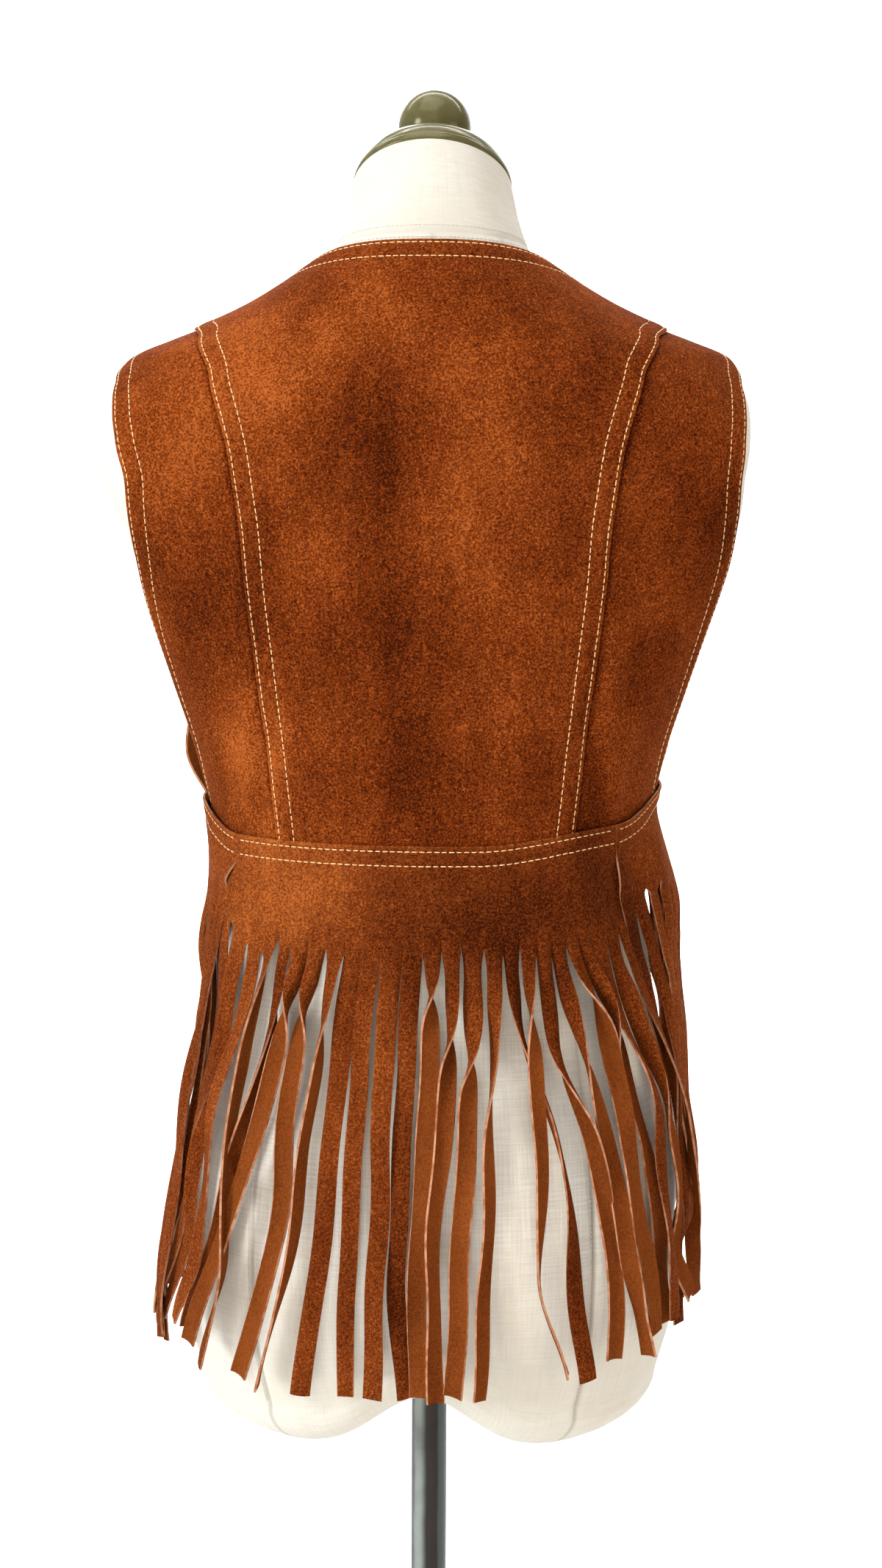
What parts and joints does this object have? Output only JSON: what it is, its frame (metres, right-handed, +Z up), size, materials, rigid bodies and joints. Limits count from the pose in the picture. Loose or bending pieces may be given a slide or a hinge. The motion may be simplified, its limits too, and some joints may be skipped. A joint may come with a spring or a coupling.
{
  "type": "fringed suede vest on a limbless dress form and stand",
  "caption": "Sleeveless suede vest with a long cut fringe below the waist, worn by a canvas dress form with a capped neck, on a steel pole and round foot",
  "frame": {"origin": "on the floor under the foot, on the pole's axis", "axes": "+Z up along the pole; the vest's front faces -Y and its back +Y; +X is the wearer's left"},
  "size_m": [0.3902, 0.36, 1.5486],
  "materials": {
    "suede": "napped tan-brown suede",
    "canvas": "plain woven cream canvas",
    "cap_bronze": "glossy olive bronze",
    "pole_steel": "dark brushed steel"
  },
  "bodies": {
    "root": {"back_centre": "suede", "back_side_left": "suede", "back_side_right": "suede", "front_left": "suede", "front_right": "suede", "fringe_back": "suede", "fringe_front_left": "suede", "fringe_front_right": "suede", "form_torso": "canvas", "neck_cap": "cap_bronze", "cap_knob": "cap_bronze", "pole": "pole_steel", "foot": "pole_steel"}
  },
  "joints": []
}
